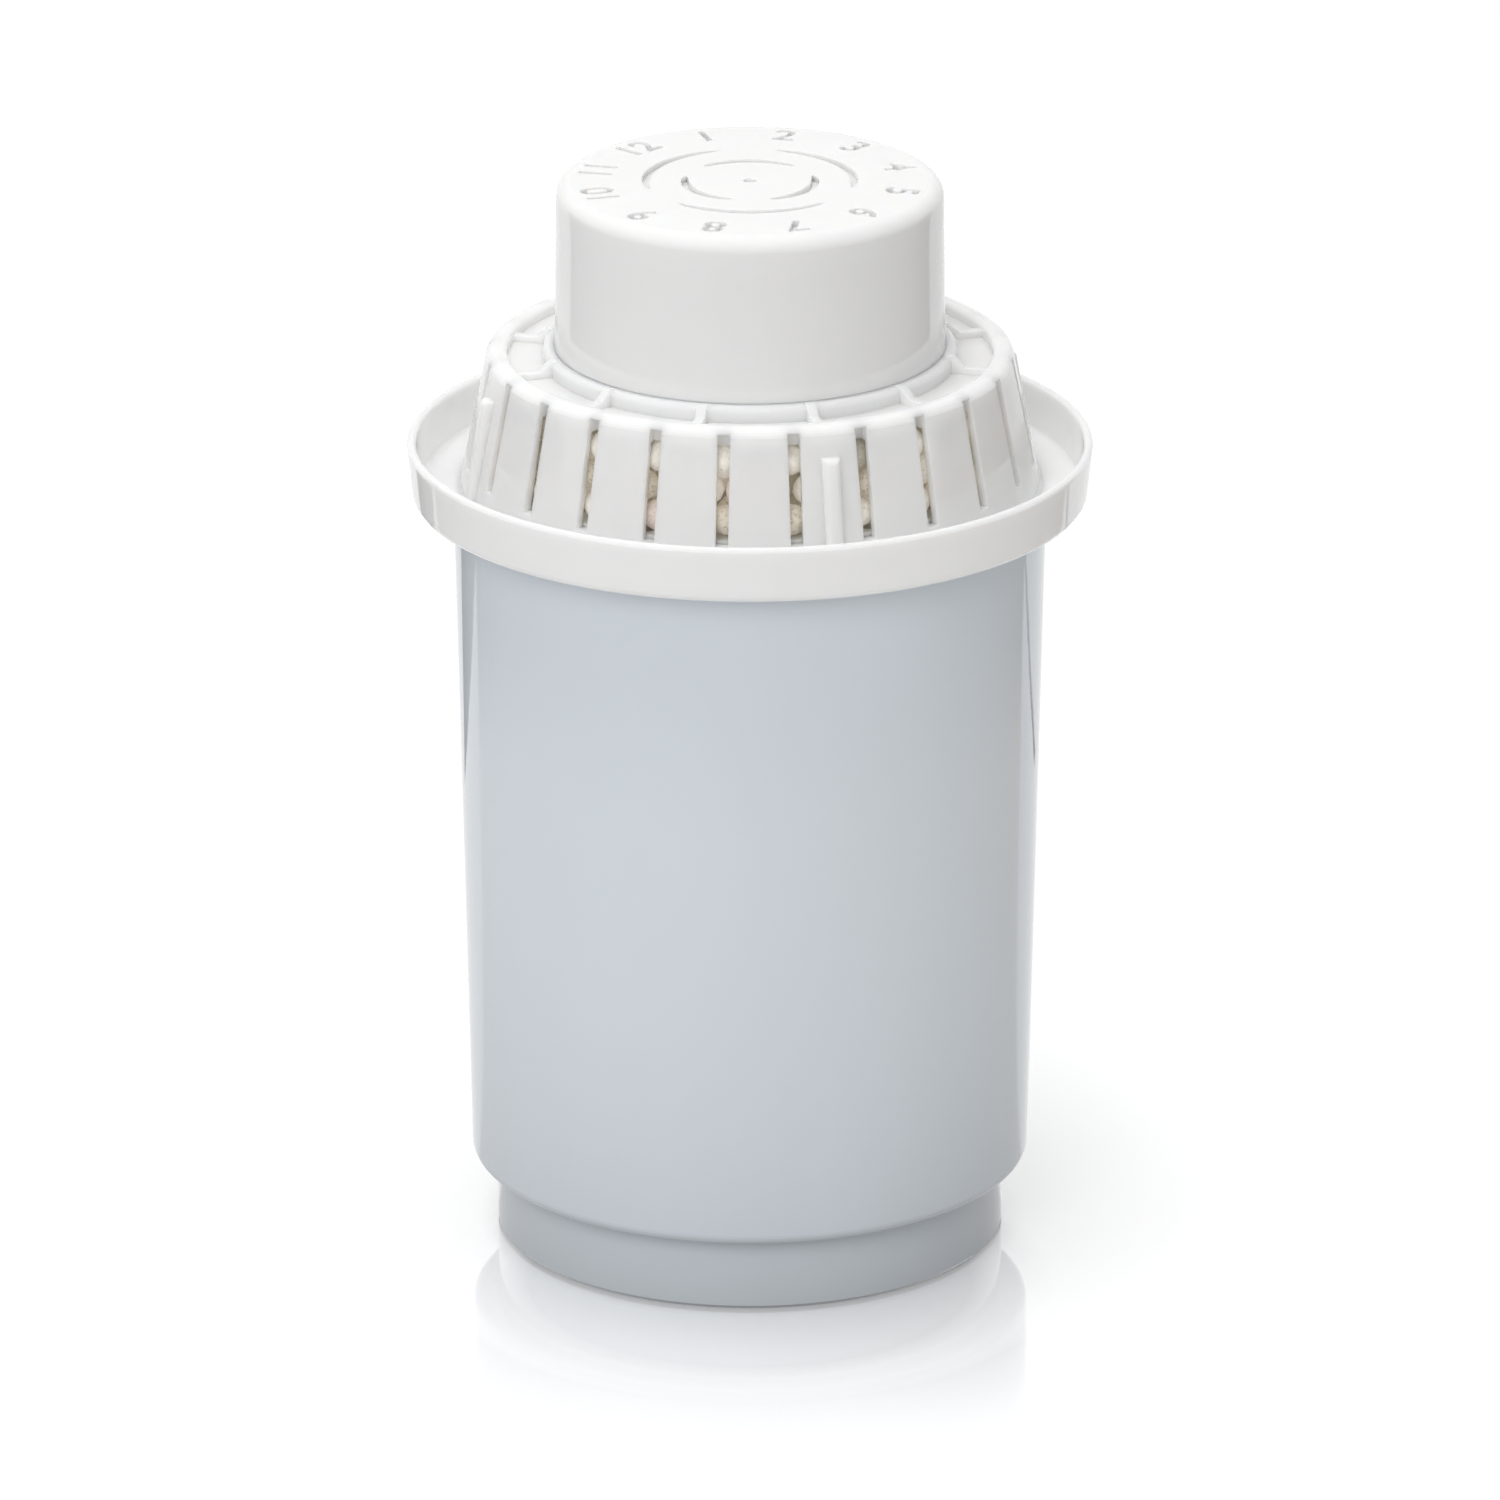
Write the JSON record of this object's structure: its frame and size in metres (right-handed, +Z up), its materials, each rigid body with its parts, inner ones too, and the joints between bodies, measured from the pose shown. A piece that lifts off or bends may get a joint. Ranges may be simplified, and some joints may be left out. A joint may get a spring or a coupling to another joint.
{
  "type": "water filter cartridge",
  "caption": "Replaceable filter cartridge for a water jug: tapered shell with an outlet spigot, flange dish, slotted inlet cage over mineral balls, and a crown cap.",
  "frame": {"origin": "centre of the foot of the outlet spigot, on the surface that the cartridge stands on", "axes": "+Z up along the cartridge's axis towards the crown; one of the four key ribs of the inlet cage points along -Y"},
  "size_m": [0.09, 0.09, 0.1451],
  "materials": {
    "shell_blue": "gloss",
    "white_plastic": "gloss",
    "tray_plastic": "satin",
    "cream_mineral": "matte",
    "tan_mineral": "matte",
    "pink_mineral": "matte",
    "grey_mineral": "matte",
    "green_mineral": "matte",
    "felt": "matte",
    "carbon": "matte",
    "resin": "matte",
    "mesh": "matte"
  },
  "bodies": {
    "root": {"body_shell": "shell_blue", "inlet_cage": "white_plastic", "crown_cap": "white_plastic", "ball_tray": "tray_plastic", "cream_balls": "cream_mineral", "tan_balls": "tan_mineral", "pink_balls": "pink_mineral", "grey_balls": "grey_mineral", "green_balls": "green_mineral", "upper_felt": "felt", "carbon_bed": "carbon", "middle_felt": "felt", "resin_bed": "resin", "outlet_felt": "felt", "outlet_mesh": "mesh"}
  },
  "joints": []
}
